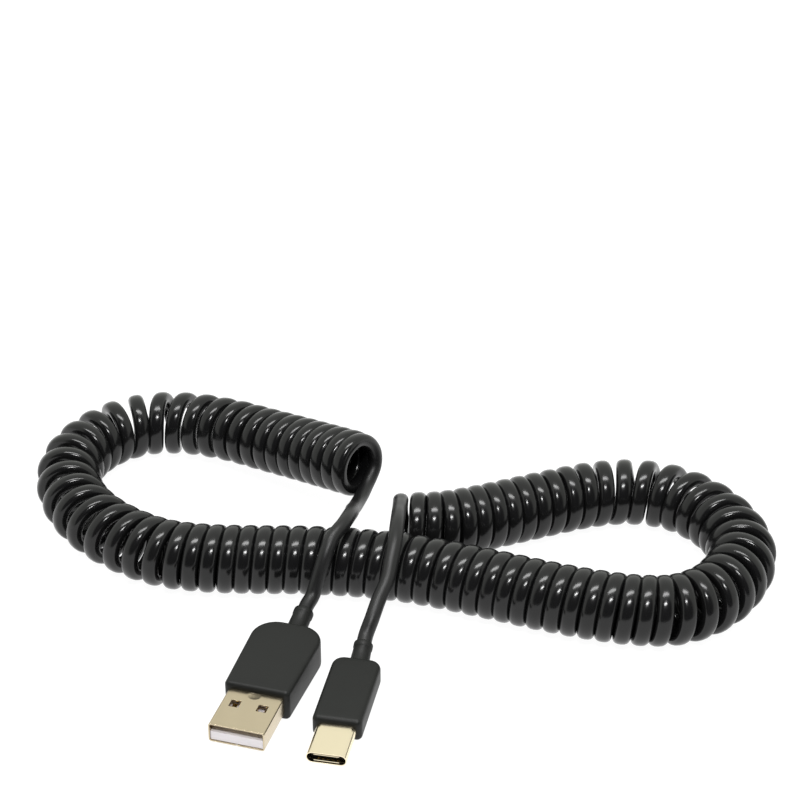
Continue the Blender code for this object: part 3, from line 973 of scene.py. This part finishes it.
    def build_tongue(self, place: LaidPlug) -> bpy.types.Object:
        """Makes the white tongue and the block behind it.

        They are one stepped profile carried across the shell, which it fills closely. The tongue's
        top lies where the CAD has it.

        Args:
            place: where the plug lies.

        Returns:
            The tongue with its block.
        """
        half = self.shell_height / 2 - self.sheet - self.fit
        side = self.shell_width / 2 - self.sheet - self.fit
        top = self.tongue - half + (self.gap - self.fit)
        back, step, front = -self.block_back, self.block_front, self.shell_out - self.tongue_setback
        profile = ((back, -half), (front, -half), (front, top), (step, top), (step, half),
                   (back, half))
        points, faces = swept_rings(np.array([[(x, y, z) for y, z in profile]
                                              for x in (-side, side)]))
        tongue = make_object("usb_a_tongue_dressed", points, faces)
        rolled_bevel(tongue, self.tongue_edge)
        place.lay(tongue)
        WHITE_PLASTIC.dress(tongue)
        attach(tongue, ROOT)
        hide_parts("usb_a_insulator")
        return tongue

    def build(self) -> list[bpy.types.Object]:
        """Makes and dresses the whole plug.

        Returns:
            The plug's pieces.
        """
        place = self.place()
        body = Overmould("usb_a_overmould_dressed", "usb_a_overmould", place,
                         nose_width=14.2 * MM, width=15.4 * MM, nose_radius=1.1 * MM,
                         rear_radius=5.4 * MM, edge=1.0 * MM, boot_diameter=4.5 * MM)
        pieces = [body.build(), self.build_shell(place), self.build_tongue(place)]
        pieces += dress_nodes(GOLD, *["usb_a_contact_%d" % n for n in range(1, 5)])
        return pieces


@dataclass
class UsbCPlug:
    """The USB-C plug: drawn shell, liner, springs, contacts and moulded body.

    Args:
        shell_width: the shell's outer width.
        shell_height: its outer height.
        sheet: its sheet's thickness.
        shell_out: how far it stands out of the body.
        shell_in: how far it reaches into the body.
        rolled: how far its mouth's edge is rounded.
        from_round: how far its sides stay from a full half circle.
    """

    shell_width: float = 8.34 * MM
    shell_height: float = 2.56 * MM
    sheet: float = 0.2 * MM
    shell_out: float = 9.2 * MM
    shell_in: float = 3.5 * MM
    rolled: float = 0.09 * MM
    from_round: float = 0.01 * MM

    def place(self) -> LaidPlug:
        """Returns where the plug lies."""
        return LaidPlug(rear=np.array((-8.75, -39.15, 0.0)) * MM + CENTRE, turn=11.2,
                        length=21.3 * MM, height=5.4 * MM, boot_length=5.6 * MM, lift=20.5)

    def build_shell(self, place: LaidPlug) -> bpy.types.Object:
        """Makes the drawn shell, whose mouth edge rolls inwards.

        Args:
            place: where the plug lies.

        Returns:
            The shell.
        """
        outline = rounded_box_outline(self.shell_width, self.shell_height,
                                      self.shell_height / 2 - self.from_round)
        stations = np.linspace(-self.shell_in, self.shell_out, 12)
        shell = sheet_metal("usb_c_shell_dressed", outline, stations, self.sheet, no_holes,
                            no_press)
        rolled_bevel(shell, self.rolled)
        place.lay(shell)
        BRIGHT_STEEL.dress(shell)
        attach(shell, ROOT)
        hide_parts("usb_c_shell")
        return shell

    def build(self) -> list[bpy.types.Object]:
        """Makes and dresses the whole plug.

        Returns:
            The plug's pieces.
        """
        place = self.place()
        body = Overmould("usb_c_overmould_dressed", "usb_c_overmould", place,
                         nose_width=10.4 * MM, width=10.5 * MM, nose_radius=1.2 * MM,
                         rear_radius=2.6 * MM, edge=1.2 * MM, boot_diameter=4.2 * MM)
        pieces = [body.build(), self.build_shell(place)]
        pieces += dress_nodes(BLACK_PLASTIC, "usb_c_insulator")
        pieces += dress_nodes(BRIGHT_STEEL, "usb_c_spring_upper", "usb_c_spring_lower")
        pieces += dress_nodes(GOLD, *["usb_c_contact_%s_%d" % (side, n)
                                      for side in ("upper", "lower") for n in range(1, 6)])
        return pieces


# The studio


@dataclass
class Studio:
    """Camera, pale floor and soft light.

    Args:
        lens: focal length in mm on a 36 mm sensor.
        distance: from the camera to the floor point that it was measured from.
        elevation: height of the line of sight to that point, in degrees.
        tilt: how far the camera looks below the level, in degrees.
        floor_reach: how far the floor reaches each way.
        floor_below: how far it lies under the cable.
        floor_glow: how brightly it glows.
    """

    lens: float = 90.0
    distance: float = 0.46
    elevation: float = 35.0
    tilt: float = 30.14
    floor_reach: float = 3.0
    floor_below: float = 0.0001
    floor_glow: float = 0.96

    # The dark side's middle, 25 degrees above the level. Cosines of the angles from it within which
    # the room is darkest, and past which it is lightest.
    DARK_WAY = (0.0, -0.9063, 0.4226)
    DARKEST_WITHIN = 0.74
    LIGHTEST_PAST = 0.5

    def camera(self) -> None:
        """Places the camera at the photograph's viewing angle."""
        data = bpy.data.cameras.new("camera")
        data.lens = self.lens
        data.sensor_width = 36.0
        data.clip_start = 0.01
        camera = bpy.data.objects.new("camera", data)
        angle = math.radians(self.elevation)
        camera.location = (CENTRE[0], CENTRE[1] - self.distance * math.cos(angle),
                           self.distance * math.sin(angle))
        camera.rotation_euler = (math.radians(90 - self.tilt), 0.0, 0.0)
        bpy.context.scene.collection.objects.link(camera)
        bpy.context.scene.camera = camera

    def floor(self) -> None:
        """Lays a plain white floor that glows enough to stay shadowless."""
        size = self.floor_reach
        points = np.array(((-size, -size, 0), (size, -size, 0), (size, size, 0), (-size, size, 0)))
        floor = make_object("floor", points, [(0, 1, 2, 3)])
        floor.location.z = -self.floor_below
        material = bpy.data.materials.new("floor_white")
        material.use_nodes = True
        shader = material.node_tree.nodes["Principled BSDF"]
        shader.inputs["Base Color"].default_value = (0.12, 0.12, 0.12, 1.0)
        shader.inputs["Roughness"].default_value = 0.9
        shader.inputs["Emission Color"].default_value = (1.0, 1.0, 1.0, 1.0)
        shader.inputs["Emission Strength"].default_value = self.floor_glow
        floor.data.materials.append(material)

    def lamp(self, name: str, width: float, depth: float, distance: float, turn: float,
             height: float, power: float) -> None:
        """Hangs an oval white lamp that faces the cable.

        Args:
            name: the lamp's name.
            width: its width, level across the camera's side.
            depth: its size the other way.
            distance: how far it hangs from the cable's middle.
            turn: how far it stands to the right of the camera's side, in degrees.
            height: how high it stands, in degrees above the level.
            power: its power in watts.
        """
        data = bpy.data.lights.new(name, "AREA")
        data.shape = "ELLIPSE"
        data.size = width
        data.size_y = depth
        data.energy = power
        lamp = bpy.data.objects.new(name, data)
        across, up = math.radians(turn), math.radians(height)
        way = np.array((math.sin(across) * math.cos(up), -math.cos(across) * math.cos(up),
                        math.sin(up)))
        lamp.location = tuple(way * distance)
        lamp.rotation_euler = (math.radians(90 - height), 0.0, across)
        bpy.context.scene.collection.objects.link(lamp)

    def surroundings(self) -> None:
        """Sets the room: dark on the camera's side, and soft grey overhead, behind and beside."""
        world = bpy.data.worlds.new("studio")
        world.use_nodes = True
        nodes = world.node_tree.nodes
        link = world.node_tree.links.new
        way = nodes.new("ShaderNodeTexCoord")
        dark_side = nodes.new("ShaderNodeVectorMath")
        dark_side.operation = "DOT_PRODUCT"
        dark_side.inputs[1].default_value = self.DARK_WAY
        link(way.outputs["Generated"], dark_side.inputs[0])
        share = nodes.new("ShaderNodeMapRange")
        share.interpolation_type = "SMOOTHSTEP"
        share.inputs["From Min"].default_value = self.DARKEST_WITHIN
        share.inputs["From Max"].default_value = self.LIGHTEST_PAST
        link(dark_side.outputs["Value"], share.inputs["Value"])
        mixed = nodes.new("ShaderNodeMix")
        mixed.data_type = "RGBA"
        mixed.inputs["A"].default_value = (0.05, 0.05, 0.055, 1.0)
        mixed.inputs["B"].default_value = (0.9, 0.92, 0.87, 1.0)
        link(share.outputs["Result"], mixed.inputs["Factor"])
        background = nodes["Background"]
        link(mixed.outputs["Result"], background.inputs["Color"])
        background.inputs["Strength"].default_value = 1.0
        bpy.context.scene.world = world

    def build(self) -> None:
        """Sets the camera, the floor, the surroundings and the lamps."""
        self.camera()
        self.floor()
        self.surroundings()
        self.lamp("compact_lamp", width=0.2, depth=0.055, distance=0.6, turn=5.0, height=57.0,
                  power=1.8)
        self.lamp("overhead_softbox", width=0.8, depth=0.19, distance=0.9, turn=0.0, height=89.0,
                  power=5.4)
        bpy.context.scene.view_settings.view_transform = "Standard"


def main() -> None:
    """Builds the cable and its studio."""
    logging.basicConfig(level=logging.INFO)
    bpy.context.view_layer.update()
    plug_a = UsbAPlug()
    plug_c = UsbCPlug()
    pieces_a = plug_a.build()
    pieces_c = plug_c.build()
    cord = CurlyCord(plug_a.place(), plug_c.place()).build(pieces_c)
    for piece in (*pieces_a, *pieces_c, cord):
        LOG.info("%s: %d faces", piece.name, len(piece.data.polygons))
    Studio().build()


if __name__ == "__main__":
    main()
